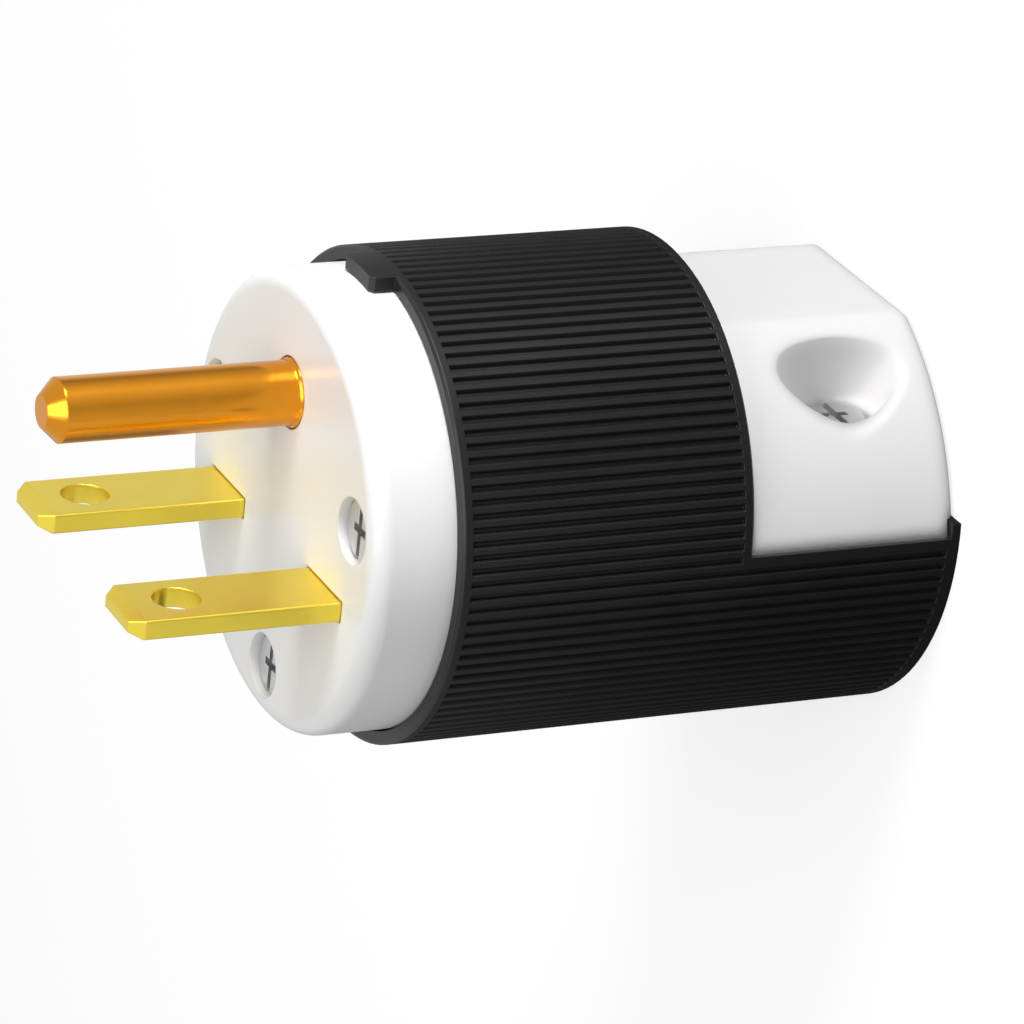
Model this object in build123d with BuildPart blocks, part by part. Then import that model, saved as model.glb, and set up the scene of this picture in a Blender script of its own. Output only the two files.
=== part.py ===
from build123d import *
import math
import os

os.makedirs("parts", exist_ok=True)

# Barrel
shell_r = 18.4
shell_wall = 1.05
chamber_step = 1.35
step_z = 17.2
barrel_len = 23.2
bulkhead_t = 1.8
trough_len = 4.0
edge_bevel = 0.2

# Gripping ribs
rib_count = 116
groove_depth = 0.34
groove_mouth = 0.8
groove_floor = 0.2
rim_band = 0.8
step_band = 0.8
rear_band = 1.0

# Key tongue on the rim
tongue_w = 4.9
tongue_len = 1.9
tongue_corner = 0.35

# Cord clamp and cord channel
parting_y = 1.15
cord_r = 5.5
cord_land = 8.5
cord_lead = 0.6
wire_wall = 1.2
wire_corner = 2.5
clamp_inset = 0.45
clamp_top_y = 14.6
clamp_top_half_w = 6.9
clamp_bulge = 1.9
clamp_round = 1.25
clamp_roof = 2.6
clamp_side_wall = 4.0
clamp_ledge_t = 1.0
ear_len = 0.7
ear_h = 1.15
ear_w = 3.2

# Clamp screws and their wells
clamp_screw_inset = 6.75
clamp_screw_z = 7.8
clamp_screw_r = 1.5
clamp_screw_grip = 9.5
clamp_head_r = 2.35
clamp_head_h = 1.6
clamp_ledge_y = 7.1
well_gap = 0.3
well_shelf = 0.8
well_over = 1.0
well_spread = 3.4

# Front body
face_proud = 6.3
face_round = 1.4
body_len = 17.7
cover_t = 3.4
window_len = 10.2

# Assembly screws
screw_inset = 4.0
side_screw_angle = 15.0
assembly_screw_r = 1.5
assembly_thread = 7.2
assembly_head_r = 2.3
assembly_head_h = 1.8
assembly_head_sink = 0.6
recess_gap = 0.15
boss_wall = 1.7

# Line blades
blade_pitch = 18.3
blade_y = -3.19
blade_w = 6.35
blade_t = 1.52
blade_len = 15.9
blade_corner = 1.0
blade_edge_r = 0.2
blade_tip_bevel = 0.35
blade_tip_bevel_len = 1.0
blade_hole_r = 1.8
blade_hole_from_face = 11.4
tail_w = 8.8
shoulder_depth = 3.0

# Earth pin and its bracket
ground_y = 8.7
ground_r = 2.4
ground_len = 19.1
ground_tip_bevel = 1.15
shank_step = 0.2
collar_r = 3.5
collar_t = 1.4
collar_rise = 7.5
stake_r = 1.7
bracket_t = 1.4
bracket_w = 7.2
bracket_reach = 3.4
bracket_arm = 3.3

# Terminal plates and screws
plate_t = 1.3
plate_w = 7.4
plate_len = 7.0
ground_plate_len = 6.0
plate_corner = 0.8
wire_groove_r = 0.55
wire_groove_x = 2.6
term_screw_r = 1.6
term_head_r = 2.8
term_head_h = 1.7
term_tip = 1.1
funnel_r = 2.1
funnel_flare = 1.3

# Screw drives
slot_w = 0.6
slot_depth = 0.6
cross_w = 0.6
cross_len = 2.0
cross_depth = 0.9

# Clearances
slip = 0.15
slot_gap = 0.1
pocket_gap = 0.1
screw_gap = 0.2
thread_gap = 0.03
stake_gap = 0.02
step_gap = 0.12

# Radii that fit one another
shell_bore_r = shell_r - shell_wall
chamber_r = shell_bore_r - chamber_step
body_r = shell_bore_r - slip
screw_circle_r = body_r - screw_inset
screw_recess_r = assembly_head_r + recess_gap
boss_r = assembly_screw_r + boss_wall
well_r = clamp_head_r + well_gap
shank_r = ground_r + shank_step

# Heights along the plug
trough_z = step_z - trough_len
bulkhead_z = step_z + bulkhead_t
rim_z = step_z + barrel_len
face_z = rim_z + face_proud
body_rear_z = face_z - body_len
cover_z = body_rear_z - cover_t
shoulder_z = face_z - shoulder_depth
collar_z = body_rear_z + collar_rise
line_term_z = body_rear_z + window_len / 2
ground_term_z = body_rear_z + collar_rise / 2
assembly_seat_z = face_z - assembly_head_sink - assembly_head_h
assembly_tip_z = cover_z - assembly_thread

# Places across the plug
clamp_foot_half_w = shell_r - clamp_inset
clamp_screw_x = clamp_foot_half_w - clamp_screw_inset
clamp_tip_y = parting_y - clamp_screw_grip
ear_inner_x = shell_r - ear_w
wire_half_w = clamp_screw_x - well_r - wire_wall
wire_high = clamp_top_y - clamp_roof
wire_low = boss_r - screw_circle_r
blade_x = blade_pitch / 2
blade_low_y = blade_y - blade_t / 2
plate_low_y = blade_low_y - plate_t
bracket_low_y = ground_y - bracket_reach
bracket_high_y = ground_y + bracket_arm
ground_plate_y = bracket_high_y + plate_t
screw_angles = [math.radians(a) for a in (side_screw_angle, 180 - side_screw_angle, 270)]
screw_spots = [(screw_circle_r * math.cos(a), screw_circle_r * math.sin(a)) for a in screw_angles]
clamp_spots = [(clamp_screw_x, clamp_screw_z), (-clamp_screw_x, clamp_screw_z)]
sides = [-1, 1]
base = (Align.CENTER, Align.CENTER, Align.MIN)
top = (Align.CENTER, Align.CENTER, Align.MAX)


# Outer shell: ribbed barrel, lower clamp jaw and key tongue
with BuildPart() as outer_shell:
    # barrel
    with BuildSketch(Plane.XY.offset(step_z)):
        Circle(shell_r)
    extrude(amount=rim_z - step_z)
    chamfer(outer_shell.edges().filter_by(GeomType.CIRCLE), edge_bevel)
    # lower jaw with its two ears
    with BuildSketch(Plane.XY):
        Circle(shell_r)
        with Locations((0, parting_y + shell_r)):
            Rectangle(2 * shell_r, 2 * shell_r, mode=Mode.SUBTRACT)
    extrude(amount=step_z + edge_bevel)
    with BuildSketch(Plane.XY):
        Circle(shell_r)
        with Locations((0, parting_y + ear_h / 2)):
            Rectangle(2 * shell_r, ear_h, mode=Mode.INTERSECT)
            Rectangle(2 * ear_inner_x, 2 * ear_h, mode=Mode.SUBTRACT)
    extrude(amount=ear_len)
    # key tongue in front of the rim
    with BuildSketch(Plane.XY.offset(rim_z - rim_band)):
        Circle(shell_r)
        with Locations((0, shell_r)):
            Rectangle(tongue_w, 2 * (shell_r - chamber_r), mode=Mode.INTERSECT)
    extrude(amount=rim_band + tongue_len)
    chamfer(outer_shell.edges().filter_by(Axis.Y).group_by(Axis.Z)[-1], tongue_corner)
    # bore for the front body
    with BuildSketch(Plane.XY.offset(cover_z)):
        Circle(shell_bore_r)
    extrude(amount=rim_z + tongue_len - cover_z, mode=Mode.SUBTRACT)
    # wire chamber, with the screw bosses left standing
    with BuildSketch(Plane.XY.offset(bulkhead_z)):
        Circle(chamber_r)
        with Locations(*screw_spots):
            Circle(boss_r, mode=Mode.SUBTRACT)
    extrude(amount=cover_z - bulkhead_z, mode=Mode.SUBTRACT)
    with BuildSketch(Plane.XY.offset(trough_z)):
        Circle(chamber_r)
        with Locations((0, parting_y + shell_r)):
            Rectangle(2 * shell_r, 2 * shell_r, mode=Mode.SUBTRACT)
        with Locations((0, -screw_circle_r)):
            Circle(boss_r, mode=Mode.SUBTRACT)
    extrude(amount=bulkhead_z - trough_z, mode=Mode.SUBTRACT)
    with BuildSketch(Plane.XY.offset(cord_land)):
        with Locations((0, (wire_high + wire_low) / 2)):
            RectangleRounded(2 * wire_half_w, wire_high - wire_low, wire_corner)
    extrude(amount=bulkhead_z - cord_land, mode=Mode.SUBTRACT)
    # cord channel with a flared mouth
    with Locations((0, parting_y, 0)):
        Cylinder(cord_r, cord_land, align=base, mode=Mode.SUBTRACT)
        Cone(cord_r + cord_lead, cord_r, cord_lead, align=base, mode=Mode.SUBTRACT)
    # threaded holes
    with BuildSketch(Plane.XY.offset(cover_z)):
        with Locations(*screw_spots):
            Circle(assembly_screw_r + thread_gap)
    extrude(amount=assembly_tip_z - cover_z - slip, mode=Mode.SUBTRACT)
    with BuildSketch(Plane.XZ.offset(-parting_y)):
        with Locations(*clamp_spots):
            Circle(clamp_screw_r + thread_gap)
    extrude(amount=clamp_screw_grip + slip, mode=Mode.SUBTRACT)
    # rib grooves round the barrel, then along the lower jaw
    groove = [
        (-groove_depth, -groove_floor / 2),
        (edge_bevel, -groove_mouth / 2),
        (edge_bevel, groove_mouth / 2),
        (-groove_depth, groove_floor / 2),
    ]
    with BuildSketch(Plane.XY.offset(step_z + step_band)):
        with PolarLocations(shell_r, rib_count):
            Polygon(*groove, align=None)
    extrude(amount=rim_z - rim_band - step_z - step_band, mode=Mode.SUBTRACT)
    with BuildSketch(Plane.XY.offset(rear_band)):
        with PolarLocations(shell_r, rib_count // 2 + 1, start_angle=180, angular_range=180, endpoint=True):
            Polygon(*groove, align=None)
    extrude(amount=step_z + step_band - rear_band, mode=Mode.SUBTRACT)

outer_shell.part.label = "outer_shell"
export_step(outer_shell.part, "parts/outer_shell.step")


# Cord clamp: upper jaw, bulged sides, rounded rear edge and two oval screw wells
chord = math.hypot(clamp_foot_half_w - clamp_top_half_w, clamp_top_y - parting_y)
bulge_x = (clamp_foot_half_w + clamp_top_half_w) / 2 + clamp_bulge * (clamp_top_y - parting_y) / chord
bulge_y = (clamp_top_y + parting_y) / 2 + clamp_bulge * (clamp_foot_half_w - clamp_top_half_w) / chord
with BuildPart() as cord_clamp:
    with BuildSketch(Plane.XY):
        with BuildLine():
            Line((-clamp_foot_half_w, parting_y), (clamp_foot_half_w, parting_y))
            ThreePointArc(
                (clamp_foot_half_w, parting_y), (bulge_x, bulge_y), (clamp_top_half_w, clamp_top_y)
            )
            Line((clamp_top_half_w, clamp_top_y), (-clamp_top_half_w, clamp_top_y))
            ThreePointArc(
                (-clamp_top_half_w, clamp_top_y), (-bulge_x, bulge_y), (-clamp_foot_half_w, parting_y)
            )
        make_face()
    extrude(amount=step_z - step_gap)
    rear_edges = cord_clamp.edges().group_by(Axis.Z)[0].filter_by(lambda e: e.center().Y > parting_y + 0.1)
    fillet(rear_edges, clamp_round)
    # notches over the lower jaw's ears
    with BuildSketch(Plane.XY):
        with Locations((0, parting_y)):
            Rectangle(2 * shell_r, 2 * (ear_h + slot_gap))
            Rectangle(2 * (ear_inner_x - slot_gap), 3 * (ear_h + slot_gap), mode=Mode.SUBTRACT)
    extrude(amount=ear_len + slot_gap, mode=Mode.SUBTRACT)
    # wire space and cord channel
    with BuildSketch(Plane.XY.offset(cord_land)):
        with Locations((0, (wire_high + wire_low) / 2)):
            RectangleRounded(2 * wire_half_w, wire_high - wire_low, wire_corner)
    extrude(amount=step_z - cord_land, mode=Mode.SUBTRACT)
    with Locations((0, parting_y, 0)):
        Cylinder(cord_r, cord_land, align=base, mode=Mode.SUBTRACT)
        Cone(cord_r + cord_lead, cord_r, cord_lead, align=base, mode=Mode.SUBTRACT)
    # hollow sides in front of the screws
    with BuildSketch(Plane.XY.offset(trough_z)):
        with Locations((0, parting_y)):
            Circle(clamp_foot_half_w - clamp_side_wall)
            Rectangle(2 * shell_r, 2 * (clamp_ledge_y - parting_y - clamp_ledge_t), mode=Mode.INTERSECT)
    extrude(amount=step_z - trough_z, mode=Mode.SUBTRACT)
    # screw wells: a straight bore for each head, an oval mouth that widens upward and a clear hole
    for x, z in clamp_spots:
        with Locations(Location((x, clamp_ledge_y, z), (-90, 0, 0))):
            Cylinder(well_r, clamp_head_h, align=base, mode=Mode.SUBTRACT)
            Cylinder(clamp_screw_r + screw_gap, clamp_ledge_y - parting_y, align=top, mode=Mode.SUBTRACT)
        with BuildSketch(Plane.XZ.offset(-(clamp_ledge_y + clamp_head_h))):
            with Locations((x, z)):
                Ellipse(well_r, well_r + well_shelf)
        with BuildSketch(Plane.XZ.offset(-(clamp_top_y + well_over))):
            with Locations((x, z)):
                Ellipse(well_r, well_r + well_shelf + well_spread)
        loft(mode=Mode.SUBTRACT)

cord_clamp.part.label = "cord_clamp"
export_step(cord_clamp.part, "parts/cord_clamp.step")


# Front body: face, blade slots, contact pockets and screw recesses
with BuildPart() as front_body:
    with BuildSketch(Plane.XY.offset(body_rear_z)):
        Circle(body_r)
    extrude(amount=face_z - body_rear_z)
    fillet(front_body.edges().filter_by(GeomType.CIRCLE).sort_by(Axis.Z)[-1], face_round)
    # blade slots and the wider tail pockets behind their shoulders
    with BuildSketch(Plane.XY.offset(face_z)):
        with Locations((-blade_x, blade_y), (blade_x, blade_y)):
            Rectangle(blade_w + 2 * slot_gap, blade_t + 2 * slot_gap)
    extrude(amount=-shoulder_depth, mode=Mode.SUBTRACT)
    with BuildSketch(Plane.XY.offset(body_rear_z)):
        with Locations((-blade_x, blade_y), (blade_x, blade_y)):
            Rectangle(tail_w + 2 * pocket_gap, blade_t + 2 * pocket_gap)
    extrude(amount=shoulder_z - body_rear_z, mode=Mode.SUBTRACT)
    # windows where the terminal screws are reached
    with BuildSketch(Plane.XY.offset(body_rear_z)):
        with Locations((-blade_x, blade_y - body_r / 2), (blade_x, blade_y - body_r / 2)):
            Rectangle(tail_w + 2 * pocket_gap, body_r)
    extrude(amount=window_len, mode=Mode.SUBTRACT)
    with BuildSketch(Plane.XY.offset(body_rear_z)):
        with Locations((0, bracket_low_y - pocket_gap + body_r / 2)):
            Rectangle(bracket_w + 2 * pocket_gap, body_r)
    extrude(amount=collar_rise, mode=Mode.SUBTRACT)
    # room for the tips of the terminal screws
    with BuildSketch(Plane.XZ.offset(-blade_y)):
        with Locations((-blade_x, line_term_z), (blade_x, line_term_z)):
            Circle(term_screw_r + 2 * screw_gap)
    extrude(amount=-(blade_t / 2 + term_tip + screw_gap), mode=Mode.SUBTRACT)
    # earth pin hole and collar seat
    with Locations((0, ground_y, collar_z)):
        Cylinder(collar_r + pocket_gap, collar_t, align=base, mode=Mode.SUBTRACT)
    with Locations((0, ground_y, face_z)):
        Hole(shank_r + slot_gap, face_z - collar_z)
    # assembly screw recesses
    with Locations(*[(x, y, face_z) for x, y in screw_spots]):
        CounterBoreHole(assembly_screw_r + screw_gap, screw_recess_r, face_z - assembly_seat_z)

front_body.part.label = "front_body"
export_step(front_body.part, "parts/front_body.step")


# Terminal cover: disc with three wire funnels
funnel_spots = [
    (-blade_x, blade_low_y - funnel_r / 2),
    (blade_x, blade_low_y - funnel_r / 2),
    (0, bracket_high_y + funnel_r / 4),
]
with BuildPart() as terminal_cover:
    with BuildSketch(Plane.XY.offset(cover_z)):
        Circle(body_r)
        with Locations(*screw_spots):
            Circle(assembly_screw_r + screw_gap, mode=Mode.SUBTRACT)
    extrude(amount=cover_t)
    with Locations(*[(x, y, cover_z) for x, y in funnel_spots]):
        Cone(funnel_r + funnel_flare, funnel_r, cover_t, align=base, mode=Mode.SUBTRACT)

terminal_cover.part.label = "terminal_cover"
export_step(terminal_cover.part, "parts/terminal_cover.step")


# Line blades: one stamping each, with a shouldered tail tapped for the terminal screw
with BuildPart() as line_blade_left:
    with BuildSketch(Plane.XZ.offset(-blade_low_y)):
        with Locations((-blade_x, (body_rear_z + shoulder_z) / 2)):
            Rectangle(tail_w, shoulder_z - body_rear_z)
        with Locations((-blade_x, (shoulder_z + face_z + blade_len) / 2)):
            strip = Rectangle(blade_w, face_z + blade_len - shoulder_z)
        chamfer(strip.vertices().group_by(Axis.Y)[-1], blade_corner)
        with Locations((-blade_x, face_z + blade_hole_from_face)):
            Circle(blade_hole_r, mode=Mode.SUBTRACT)
        with Locations((-blade_x, line_term_z)):
            Circle(term_screw_r + thread_gap, mode=Mode.SUBTRACT)
    extrude(amount=-blade_t)
    tip_face = line_blade_left.faces().sort_by(Axis.Z)[-1]
    chamfer(tip_face.edges().filter_by(Axis.X), blade_tip_bevel, blade_tip_bevel_len, reference=tip_face)
    long_edges = line_blade_left.edges().filter_by(Axis.Z).group_by(SortBy.LENGTH)[-1]
    fillet(long_edges, blade_edge_r)

with BuildPart() as line_blade_right:
    mirror(line_blade_left.part, about=Plane.YZ)

line_blade_left.part.label = "line_blade_left"
export_step(line_blade_left.part, "parts/line_blade_left.step")
line_blade_right.part.label = "line_blade_right"
export_step(line_blade_right.part, "parts/line_blade_right.step")


# Earth pin: turned pin with a bevelled tip, stout shank, collar and staked tail
with BuildPart() as ground_pin:
    with BuildSketch(Plane(origin=(0, ground_y, 0), x_dir=(1, 0, 0), z_dir=(0, -1, 0))):
        with BuildLine():
            Polyline(
                (0, collar_z - bracket_t),
                (stake_r, collar_z - bracket_t),
                (stake_r, collar_z),
                (collar_r, collar_z),
                (collar_r, collar_z + collar_t),
                (shank_r, collar_z + collar_t),
                (shank_r, face_z),
                (ground_r, face_z + shank_step),
                (ground_r, face_z + ground_len - ground_tip_bevel),
                (ground_r - ground_tip_bevel, face_z + ground_len),
                (0, face_z + ground_len),
                close=True,
            )
        make_face()
    revolve(axis=Axis((0, ground_y, 0), (0, 0, 1)))

ground_pin.part.label = "ground_pin"
export_step(ground_pin.part, "parts/ground_pin.step")


# Earth bracket: bent strip between the pin and its terminal screw
with BuildPart() as ground_bracket:
    with BuildSketch(Plane.YZ.offset(-bracket_w / 2)):
        with BuildLine():
            Polyline(
                (bracket_low_y, collar_z),
                (bracket_high_y, collar_z),
                (bracket_high_y, body_rear_z),
                (bracket_high_y - bracket_t, body_rear_z),
                (bracket_high_y - bracket_t, collar_z - bracket_t),
                (bracket_low_y, collar_z - bracket_t),
                close=True,
            )
        make_face()
    extrude(amount=bracket_w)
    high_edges = ground_bracket.edges().filter_by(Axis.X).group_by(Axis.Y)[-1]
    fillet(high_edges.sort_by(Axis.Z)[-1], bracket_t)
    with Locations((0, ground_y, collar_z)):
        Hole(stake_r + stake_gap, bracket_t)
    with Locations(Location((0, bracket_high_y, ground_term_z), (-90, 0, 0))):
        Hole(term_screw_r + thread_gap, bracket_t)

ground_bracket.part.label = "ground_bracket"
export_step(ground_bracket.part, "parts/ground_bracket.step")


# Pressure plates: rounded squares with two wire grooves and a clear screw hole
with BuildPart() as line_plate_left:
    with BuildSketch(Plane.XZ.offset(-plate_low_y)):
        with Locations((-blade_x, line_term_z)):
            RectangleRounded(plate_w, plate_len, plate_corner)
            Circle(term_screw_r + screw_gap, mode=Mode.SUBTRACT)
    extrude(amount=-plate_t)
    with BuildSketch(Plane.XY.offset(line_term_z - plate_len)):
        with Locations(*[(s * wire_groove_x - blade_x, blade_low_y) for s in sides]):
            Circle(wire_groove_r)
    extrude(amount=2 * plate_len, mode=Mode.SUBTRACT)

with BuildPart() as line_plate_right:
    mirror(line_plate_left.part, about=Plane.YZ)

line_plate_left.part.label = "line_plate_left"
export_step(line_plate_left.part, "parts/line_plate_left.step")
line_plate_right.part.label = "line_plate_right"
export_step(line_plate_right.part, "parts/line_plate_right.step")

with BuildPart() as ground_plate:
    with BuildSketch(Plane.XZ.offset(-bracket_high_y)):
        with Locations((0, ground_term_z)):
            RectangleRounded(bracket_w, ground_plate_len, plate_corner)
            Circle(term_screw_r + screw_gap, mode=Mode.SUBTRACT)
    extrude(amount=-plate_t)
    with BuildSketch(Plane.XY.offset(ground_term_z - ground_plate_len)):
        with Locations(*[(s * wire_groove_x, bracket_high_y) for s in sides]):
            Circle(wire_groove_r)
    extrude(amount=2 * plate_len, mode=Mode.SUBTRACT)

ground_plate.part.label = "ground_plate"
export_step(ground_plate.part, "parts/ground_plate.step")


# Terminal screws: slotted round heads that press the plates
with BuildPart() as line_terminal_screws:
    for side in sides:
        with BuildSketch(Plane.XZ.offset(-plate_low_y)):
            with Locations((side * blade_x, line_term_z)):
                Circle(term_screw_r)
        extrude(amount=-(plate_t + blade_t + term_tip))
        with BuildSketch(Plane.XZ.offset(-plate_low_y)):
            with Locations((side * blade_x, line_term_z)):
                Circle(term_head_r)
        extrude(amount=term_head_h)
        with BuildSketch(Plane.XZ.offset(-plate_low_y + term_head_h)):
            with Locations((side * blade_x, line_term_z)):
                Rectangle(slot_w, 2 * term_head_r)
        extrude(amount=-slot_depth, mode=Mode.SUBTRACT)

line_terminal_screws.part.label = "line_terminal_screws"
export_step(line_terminal_screws.part, "parts/line_terminal_screws.step")

with BuildPart() as ground_terminal_screw:
    with BuildSketch(Plane.XZ.offset(-ground_plate_y)):
        with Locations((0, ground_term_z)):
            Circle(term_screw_r)
    extrude(amount=plate_t + bracket_t + term_tip)
    with BuildSketch(Plane.XZ.offset(-ground_plate_y)):
        with Locations((0, ground_term_z)):
            Circle(term_head_r)
    extrude(amount=-term_head_h)
    with BuildSketch(Plane.XZ.offset(-ground_plate_y - term_head_h)):
        with Locations((0, ground_term_z)):
            Rectangle(slot_w, 2 * term_head_r)
    extrude(amount=slot_depth, mode=Mode.SUBTRACT)

ground_terminal_screw.part.label = "ground_terminal_screw"
export_step(ground_terminal_screw.part, "parts/ground_terminal_screw.step")


# Assembly screws: long screws whose cross and slot drives show in the face recesses
with BuildPart() as assembly_screws:
    with BuildSketch(Plane.XY.offset(assembly_seat_z)):
        with Locations(*screw_spots):
            Circle(assembly_screw_r)
    extrude(amount=assembly_tip_z - assembly_seat_z)
    with BuildSketch(Plane.XY.offset(assembly_seat_z)):
        with Locations(*screw_spots):
            Circle(assembly_head_r)
    extrude(amount=assembly_head_h)
    chamfer(assembly_screws.edges().filter_by(GeomType.CIRCLE).group_by(Axis.Z)[-1], edge_bevel)
    with BuildSketch(Plane.XY.offset(assembly_seat_z + assembly_head_h)):
        with Locations(*screw_spots):
            Rectangle(slot_w, 2 * assembly_head_r)
    extrude(amount=-slot_depth, mode=Mode.SUBTRACT)
    with BuildSketch(Plane.XY.offset(assembly_seat_z + assembly_head_h)):
        with Locations(*screw_spots):
            Rectangle(cross_w, cross_len)
            Rectangle(cross_len, cross_w)
    extrude(amount=-cross_depth, mode=Mode.SUBTRACT)

assembly_screws.part.label = "assembly_screws"
export_step(assembly_screws.part, "parts/assembly_screws.step")


# Clamp screws: heads on the wells' ledges, threads in the lower jaw
with BuildPart() as clamp_screws:
    with BuildSketch(Plane.XZ.offset(-clamp_ledge_y)):
        with Locations(*clamp_spots):
            Circle(clamp_screw_r)
    extrude(amount=clamp_ledge_y - clamp_tip_y)
    with BuildSketch(Plane.XZ.offset(-clamp_ledge_y)):
        with Locations(*clamp_spots):
            Circle(clamp_head_r)
    extrude(amount=-clamp_head_h)
    chamfer(clamp_screws.edges().filter_by(GeomType.CIRCLE).group_by(Axis.Y)[-1], edge_bevel)
    with BuildSketch(Plane.XZ.offset(-clamp_ledge_y - clamp_head_h)):
        with Locations(*clamp_spots):
            Rectangle(slot_w, 2 * clamp_head_r, rotation=90)
    extrude(amount=slot_depth, mode=Mode.SUBTRACT)
    with BuildSketch(Plane.XZ.offset(-clamp_ledge_y - clamp_head_h)):
        with Locations(*clamp_spots):
            Rectangle(cross_w, cross_len)
            Rectangle(cross_len, cross_w)
    extrude(amount=cross_depth, mode=Mode.SUBTRACT)

clamp_screws.part.label = "clamp_screws"
export_step(clamp_screws.part, "parts/clamp_screws.step")
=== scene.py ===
import bmesh
import bpy
import math
from mathutils import Matrix, Vector


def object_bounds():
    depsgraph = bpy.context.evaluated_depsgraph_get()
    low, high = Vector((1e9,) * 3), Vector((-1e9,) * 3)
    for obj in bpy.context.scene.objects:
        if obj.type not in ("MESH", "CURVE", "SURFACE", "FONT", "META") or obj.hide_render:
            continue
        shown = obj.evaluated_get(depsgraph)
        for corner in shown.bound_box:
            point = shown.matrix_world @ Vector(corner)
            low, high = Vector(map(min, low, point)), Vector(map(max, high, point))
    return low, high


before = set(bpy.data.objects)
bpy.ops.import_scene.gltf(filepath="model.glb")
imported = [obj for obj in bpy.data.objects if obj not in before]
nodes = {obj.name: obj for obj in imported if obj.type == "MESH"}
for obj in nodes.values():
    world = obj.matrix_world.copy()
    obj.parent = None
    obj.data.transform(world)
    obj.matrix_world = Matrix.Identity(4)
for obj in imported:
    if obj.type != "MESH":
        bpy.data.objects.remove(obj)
cad_low, cad_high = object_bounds()


# The barrel is one moulding of black nylon. Fine ribs run along it for grip, and its
# lower half carries on to the rear as the jaw that the cord lies in.
edge_samples = 6


def moulded_nylon(name, colour, tint, roughness, gloss_spread, grain_size, grain_height, edge_radius):
    """Moulded plastic: faint clouding, uneven gloss, a fine skin and edges softened by the mould."""
    cloud_scale, cloud_detail = 140, 3
    grain_detail = 2
    material = bpy.data.materials.new(name)
    material.use_nodes = True
    tree = material.node_tree
    shader = tree.nodes["Principled BSDF"]
    place = tree.nodes.new("ShaderNodeTexCoord")
    cloud = tree.nodes.new("ShaderNodeTexNoise")
    cloud.inputs["Scale"].default_value = cloud_scale
    cloud.inputs["Detail"].default_value = cloud_detail
    shade = tree.nodes.new("ShaderNodeMix")
    shade.data_type = "RGBA"
    shade.inputs["A"].default_value = (*colour, 1)
    shade.inputs["B"].default_value = (*tint, 1)
    gloss = tree.nodes.new("ShaderNodeMapRange")
    gloss.inputs["To Min"].default_value = roughness - gloss_spread
    gloss.inputs["To Max"].default_value = roughness + gloss_spread
    grain = tree.nodes.new("ShaderNodeTexNoise")
    grain.inputs["Scale"].default_value = 1 / grain_size
    grain.inputs["Detail"].default_value = grain_detail
    edge = tree.nodes.new("ShaderNodeBevel")
    edge.samples = edge_samples
    edge.inputs["Radius"].default_value = edge_radius
    skin = tree.nodes.new("ShaderNodeBump")
    skin.inputs["Distance"].default_value = grain_height
    tree.links.new(place.outputs["Object"], cloud.inputs["Vector"])
    tree.links.new(place.outputs["Object"], grain.inputs["Vector"])
    tree.links.new(cloud.outputs["Fac"], shade.inputs["Factor"])
    tree.links.new(cloud.outputs["Fac"], gloss.inputs["Value"])
    tree.links.new(grain.outputs["Fac"], skin.inputs["Height"])
    tree.links.new(edge.outputs["Normal"], skin.inputs["Normal"])
    tree.links.new(shade.outputs["Result"], shader.inputs["Base Color"])
    tree.links.new(gloss.outputs["Result"], shader.inputs["Roughness"])
    tree.links.new(skin.outputs["Normal"], shader.inputs["Normal"])
    return material


black_sheen = 0.38
black_nylon = moulded_nylon(
    "black_nylon",
    colour=(0.0082, 0.0082, 0.0082),
    tint=(0.0102, 0.0102, 0.0102),
    roughness=0.42,
    gloss_spread=0.05,
    grain_size=0.0004,
    grain_height=0.000006,
    edge_radius=0.00012,
)
black_nylon.node_tree.nodes["Principled BSDF"].inputs["Specular IOR Level"].default_value = black_sheen
nodes["outer_shell"].material_slots[0].material = black_nylon


# The front body is the white face that holds the contacts. It is glossy moulded nylon,
# pushed into the barrel's mouth and held by three long screws.
white_nylon = moulded_nylon(
    "white_nylon",
    colour=(0.87, 0.87, 0.87),
    tint=(0.84, 0.84, 0.83),
    roughness=0.30,
    gloss_spread=0.05,
    grain_size=0.002,
    grain_height=0.000003,
    edge_radius=0.0002,
)
nodes["front_body"].material_slots[0].material = white_nylon


# The terminal cover closes the back of the front body inside the barrel. It is a plain
# nylon disc with a funnel for each wire.
inner_nylon = moulded_nylon(
    "inner_nylon",
    colour=(0.78, 0.78, 0.77),
    tint=(0.74, 0.74, 0.72),
    roughness=0.42,
    gloss_spread=0.06,
    grain_size=0.002,
    grain_height=0.000004,
    edge_radius=0.0002,
)
nodes["terminal_cover"].material_slots[0].material = inner_nylon


# The cord clamp is the upper jaw at the rear. It is white nylon like the face, with soft edges and a
# well at each side for a screw that draws it down. Its colour is set greyer than the face's to paint
# the shade on its sides.
clamp_nylon = moulded_nylon(
    "clamp_nylon",
    # A greyer colour than the face's white nylon: painted shade on the clamp's sides.
    colour=(0.71, 0.70, 0.70),
    tint=(0.68, 0.67, 0.67),
    roughness=0.34,
    gloss_spread=0.05,
    grain_size=0.002,
    grain_height=0.000003,
    edge_radius=0.0016,
)
nodes["cord_clamp"].material_slots[0].material = clamp_nylon


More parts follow.
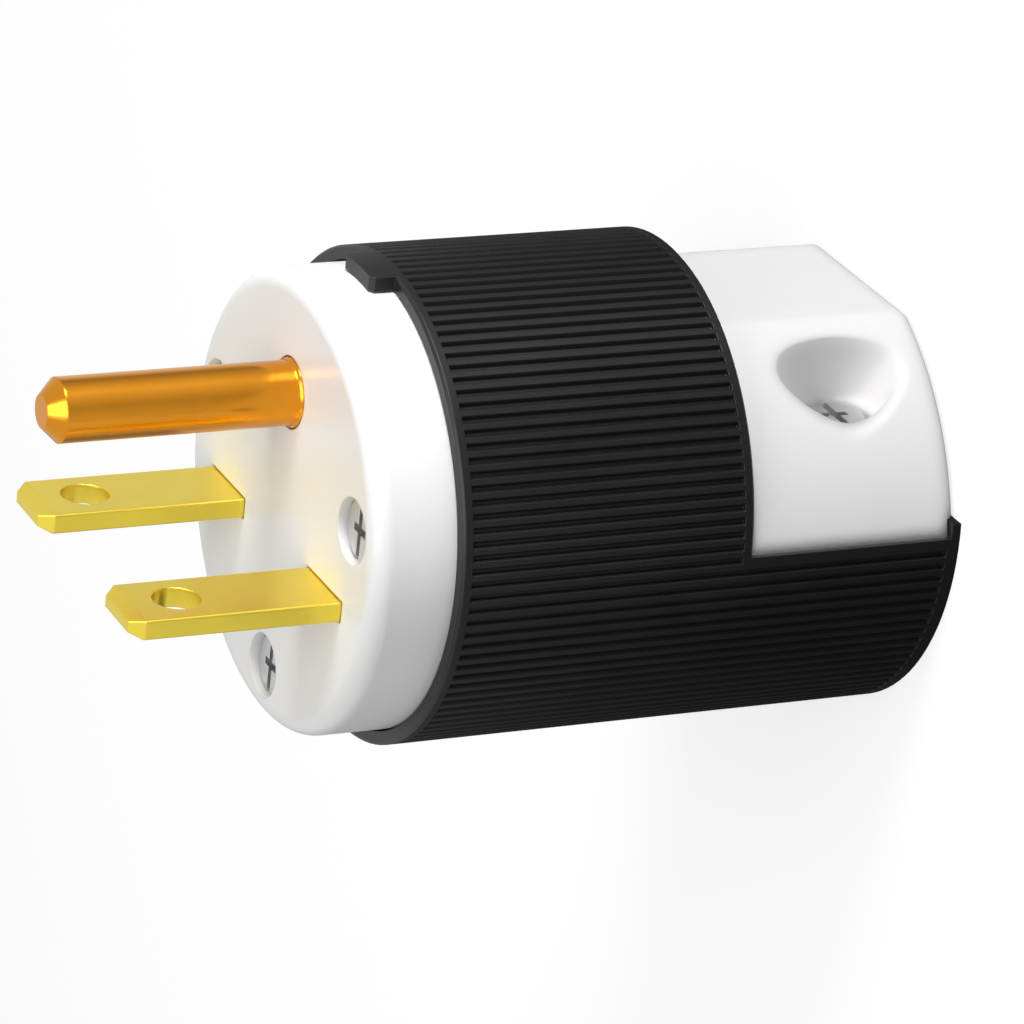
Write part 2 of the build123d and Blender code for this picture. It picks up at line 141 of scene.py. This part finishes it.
# Each line blade is stamped from brass strip, with a hole near its tip and a wider tail
# inside that takes the terminal screw.
def bright_metal(name, bright, dull, roughness, streak, edge_radius):
    """Bright metal with drawn streaks along the plug's axis and slightly uneven colour."""
    bloom_scale, bloom_detail = 260, 4
    drawn_scale, drawn_detail, drawn_stretch = 4500, 3, 0.05
    scratch_depth = 0.000002
    material = bpy.data.materials.new(name)
    material.use_nodes = True
    tree = material.node_tree
    shader = tree.nodes["Principled BSDF"]
    shader.inputs["Metallic"].default_value = 1
    place = tree.nodes.new("ShaderNodeTexCoord")
    bloom = tree.nodes.new("ShaderNodeTexNoise")
    bloom.inputs["Scale"].default_value = bloom_scale
    bloom.inputs["Detail"].default_value = bloom_detail
    tone = tree.nodes.new("ShaderNodeMix")
    tone.data_type = "RGBA"
    tone.inputs["A"].default_value = (*bright, 1)
    tone.inputs["B"].default_value = (*dull, 1)
    stretch = tree.nodes.new("ShaderNodeMapping")
    stretch.inputs["Scale"].default_value = (1, 1, drawn_stretch)
    drawn = tree.nodes.new("ShaderNodeTexNoise")
    drawn.inputs["Scale"].default_value = drawn_scale
    drawn.inputs["Detail"].default_value = drawn_detail
    spread = tree.nodes.new("ShaderNodeMapRange")
    spread.inputs["To Min"].default_value = roughness - streak
    spread.inputs["To Max"].default_value = roughness + streak
    edge = tree.nodes.new("ShaderNodeBevel")
    edge.samples = edge_samples
    edge.inputs["Radius"].default_value = edge_radius
    scratch = tree.nodes.new("ShaderNodeBump")
    scratch.inputs["Distance"].default_value = scratch_depth
    tree.links.new(place.outputs["Object"], bloom.inputs["Vector"])
    tree.links.new(place.outputs["Object"], stretch.inputs["Vector"])
    tree.links.new(stretch.outputs["Vector"], drawn.inputs["Vector"])
    tree.links.new(bloom.outputs["Fac"], tone.inputs["Factor"])
    tree.links.new(drawn.outputs["Fac"], spread.inputs["Value"])
    tree.links.new(drawn.outputs["Fac"], scratch.inputs["Height"])
    tree.links.new(edge.outputs["Normal"], scratch.inputs["Normal"])
    tree.links.new(tone.outputs["Result"], shader.inputs["Base Color"])
    tree.links.new(spread.outputs["Result"], shader.inputs["Roughness"])
    tree.links.new(scratch.outputs["Normal"], shader.inputs["Normal"])
    return material


blade_brass = bright_metal(
    "blade_brass",
    bright=(0.94, 0.73, 0.09),
    dull=(0.84, 0.66, 0.08),
    roughness=0.32,
    streak=0.06,
    edge_radius=0.00015,
)
nodes["line_blade_left"].material_slots[0].material = blade_brass
nodes["line_blade_right"].material_slots[0].material = blade_brass


# The earth pin is turned from a redder bronze. Its collar seats in the front body and
# its tail is staked to the bracket behind.
pin_bronze = bright_metal(
    "pin_bronze",
    bright=(0.82, 0.34, 0.025),
    dull=(0.74, 0.28, 0.02),
    roughness=0.18,
    streak=0.04,
    edge_radius=0.0002,
)
nodes["ground_pin"].material_slots[0].material = pin_bronze


# Inside, the terminals are a bent brass strip, plated pressure plates and brass screws.
# The earth screw is dyed green so that it can be told from the others.
terminal_brass = bright_metal(
    "terminal_brass",
    bright=(0.74, 0.54, 0.17),
    dull=(0.62, 0.46, 0.15),
    roughness=0.35,
    streak=0.06,
    edge_radius=0.0001,
)
plate_steel = bright_metal(
    "plate_steel",
    bright=(0.60, 0.60, 0.58),
    dull=(0.52, 0.52, 0.50),
    roughness=0.38,
    streak=0.06,
    edge_radius=0.0001,
)
earth_green = bright_metal(
    "earth_green",
    bright=(0.06, 0.30, 0.12),
    dull=(0.05, 0.24, 0.10),
    roughness=0.35,
    streak=0.05,
    edge_radius=0.0001,
)
nodes["ground_bracket"].material_slots[0].material = terminal_brass
nodes["line_terminal_screws"].material_slots[0].material = terminal_brass
for plate in ("line_plate_left", "line_plate_right", "ground_plate"):
    nodes[plate].material_slots[0].material = plate_steel
nodes["ground_terminal_screw"].material_slots[0].material = earth_green


# The screws that show are plated steel: three in recesses in the face and two in the
# clamp's wells, all with a combined slot and cross drive.
screw_steel = bright_metal(
    "screw_steel",
    bright=(0.66, 0.66, 0.66),
    dull=(0.58, 0.58, 0.59),
    roughness=0.35,
    streak=0.05,
    edge_radius=0.0001,
)
nodes["assembly_screws"].material_slots[0].material = screw_steel
nodes["clamp_screws"].material_slots[0].material = screw_steel


# The floor is a wide grey sheet that the camera sees lifted to white, with the plug's shadow on it. In
# reflections the floor instead glows as painted light: a dark painted shade under and near the plug,
# and painted reflection bands of several levels round it, each given by its share of the turn about
# the plug and its level.
floor_size = 6.0
floor_grey = 0.46
floor_lift = 0.64
# Painted light seen only in reflections: painted shade near the plug, and painted reflection bands
# round it.
reflected_painted_shade = 0.05
painted_shade_reach_end, painted_bands_start = 0.095, 0.115
painted_reflection_bands = [
    (0.0, 0.86), (0.08, 0.45), (0.22, 0.28), (0.31, 0.80), (0.42, 0.84), (0.58, 0.56), (0.72, 1.00),
    (0.87, 0.36), (0.93, 0.86),
]
floor_shape = bmesh.new()
bmesh.ops.create_grid(floor_shape, x_segments=1, y_segments=1, size=floor_size / 2)
floor_mesh = bpy.data.meshes.new("floor")
floor_shape.to_mesh(floor_mesh)
floor_shape.free()
floor = bpy.data.objects.new("floor", floor_mesh)
bpy.context.scene.collection.objects.link(floor)
floor_paper = bpy.data.materials.new("floor_paper")
floor_paper.use_nodes = True
tree = floor_paper.node_tree
tree.nodes.remove(tree.nodes["Principled BSDF"])
paper = tree.nodes.new("ShaderNodeBsdfDiffuse")
paper.inputs["Color"].default_value = (floor_grey, floor_grey, floor_grey, 1)
ray = tree.nodes.new("ShaderNodeLightPath")
lift_level = tree.nodes.new("ShaderNodeMath")
lift_level.operation = "MULTIPLY"
lift_level.inputs[1].default_value = floor_lift
lift = tree.nodes.new("ShaderNodeEmission")
lifted = tree.nodes.new("ShaderNodeAddShader")
ground = tree.nodes.new("ShaderNodeTexCoord")
apart = tree.nodes.new("ShaderNodeSeparateXYZ")
around = tree.nodes.new("ShaderNodeMath")
around.operation = "ARCTAN2"
turn = tree.nodes.new("ShaderNodeMapRange")
turn.inputs["From Min"].default_value = -math.pi
turn.inputs["From Max"].default_value = math.pi
reach = tree.nodes.new("ShaderNodeVectorMath")
reach.operation = "LENGTH"
outer = tree.nodes.new("ShaderNodeMapRange")
outer.inputs["From Min"].default_value = painted_shade_reach_end
outer.inputs["From Max"].default_value = painted_bands_start
painted_reflection_mix = tree.nodes.new("ShaderNodeMix")
painted_reflection_mix.data_type = "RGBA"
painted_reflection_mix.inputs["A"].default_value = (reflected_painted_shade, reflected_painted_shade, reflected_painted_shade, 1)
painted_band_ramp = tree.nodes.new("ShaderNodeValToRGB")
marks = painted_band_ramp.color_ramp.elements
while len(marks) < len(painted_reflection_bands):
    marks.new(0.5)
for mark, (turn_share, band_level) in zip(marks, painted_reflection_bands):
    mark.position = turn_share
    mark.color = (band_level, band_level, band_level, 1)
# For glossy rays the floor glows with this painted reflection and painted shade, though it is no lamp.
painted_reflection_glow = tree.nodes.new("ShaderNodeEmission")
seen = tree.nodes.new("ShaderNodeMixShader")
tree.links.new(ray.outputs["Is Camera Ray"], lift_level.inputs[0])
tree.links.new(lift_level.outputs["Value"], lift.inputs["Strength"])
tree.links.new(paper.outputs["BSDF"], lifted.inputs[0])
tree.links.new(lift.outputs["Emission"], lifted.inputs[1])
tree.links.new(ground.outputs["Object"], apart.inputs["Vector"])
tree.links.new(ground.outputs["Object"], reach.inputs[0])
tree.links.new(apart.outputs["Y"], around.inputs[0])
tree.links.new(apart.outputs["X"], around.inputs[1])
tree.links.new(around.outputs["Value"], turn.inputs["Value"])
tree.links.new(reach.outputs["Value"], outer.inputs["Value"])
tree.links.new(outer.outputs["Result"], painted_reflection_mix.inputs["Factor"])
tree.links.new(turn.outputs["Result"], painted_band_ramp.inputs["Fac"])
tree.links.new(painted_band_ramp.outputs["Color"], painted_reflection_mix.inputs["B"])
tree.links.new(painted_reflection_mix.outputs["Result"], painted_reflection_glow.inputs["Color"])
tree.links.new(ray.outputs["Is Glossy Ray"], seen.inputs["Fac"])
tree.links.new(lifted.outputs["Shader"], seen.inputs[1])
tree.links.new(painted_reflection_glow.outputs["Emission"], seen.inputs[2])
tree.links.new(seen.outputs["Shader"], tree.nodes["Material Output"].inputs["Surface"])
floor_mesh.materials.append(floor_paper)


# The light is a soft box on the side of the earth pin and a weaker one in front of the face,
# in a pale room that is brightest opposite the earth pin, as light off a table is.
def soft_box(name, place, aim, size, power):
    """A square lamp that faces a point."""
    lamp = bpy.data.lights.new(name, "AREA")
    lamp.shape = "SQUARE"
    lamp.size = size
    lamp.energy = power
    box = bpy.data.objects.new(name, lamp)
    box.location = place
    box.rotation_euler = (aim - place).to_track_quat("-Z", "Y").to_euler()
    bpy.context.scene.collection.objects.link(box)


plug_middle = Vector((0, 0, (cad_low.z + cad_high.z) / 2))
soft_box("key_box", place=Vector((0.09, 0.71, 0.15)), aim=plug_middle, size=0.29, power=6.0)
soft_box("face_box", place=Vector((0.28, 0.16, 0.69)), aim=plug_middle, size=0.5, power=2.6)
room_bright, room_bright_y = 0.74, -0.8
room_dim, room_dim_y = 0.12, 0.2
room_in_reflections = 0.8
room = bpy.data.worlds.new("room")
room.use_nodes = True
tree = room.node_tree
ambient = tree.nodes["Background"]
ambient.inputs["Color"].default_value = (1, 1, 1, 1)
facing = tree.nodes.new("ShaderNodeTexCoord")
split = tree.nodes.new("ShaderNodeSeparateXYZ")
level = tree.nodes.new("ShaderNodeMapRange")
level.interpolation_type = "SMOOTHSTEP"
level.inputs["From Min"].default_value = room_bright_y
level.inputs["From Max"].default_value = room_dim_y
level.inputs["To Min"].default_value = room_bright
level.inputs["To Max"].default_value = room_dim
ray = tree.nodes.new("ShaderNodeLightPath")
strength = tree.nodes.new("ShaderNodeMix")
strength.inputs["B"].default_value = room_in_reflections
tree.links.new(facing.outputs["Generated"], split.inputs["Vector"])
tree.links.new(split.outputs["Y"], level.inputs["Value"])
tree.links.new(ray.outputs["Is Glossy Ray"], strength.inputs["Factor"])
tree.links.new(level.outputs["Result"], strength.inputs["A"])
tree.links.new(strength.outputs["Result"], ambient.inputs["Strength"])
bpy.context.scene.world = room
bpy.context.scene.view_settings.view_transform = "Standard"


# The camera stands where the photograph was taken and is rolled so that the pins point
# to the left of the picture.
camera_place = Vector((0.33742, 0.16297, 0.20224))
camera_right = Vector((0.41555, 0.10602, -0.90337)).normalized()
camera_up = Vector((-0.40530, 0.91071, -0.07956)).normalized()
camera_back = camera_right.cross(camera_up)
focal_length_mm = 195.74
sensor_width_mm = 36
nearest_seen = 0.01
lens = bpy.data.cameras.new("photo_camera")
lens.lens = focal_length_mm
lens.sensor_width = sensor_width_mm
lens.clip_start = nearest_seen
camera = bpy.data.objects.new("photo_camera", lens)
camera.matrix_world = Matrix.Translation(camera_place) @ Matrix(
    (camera_right, camera_up, camera_back)
).transposed().to_4x4()
bpy.context.scene.collection.objects.link(camera)
bpy.context.scene.camera = camera
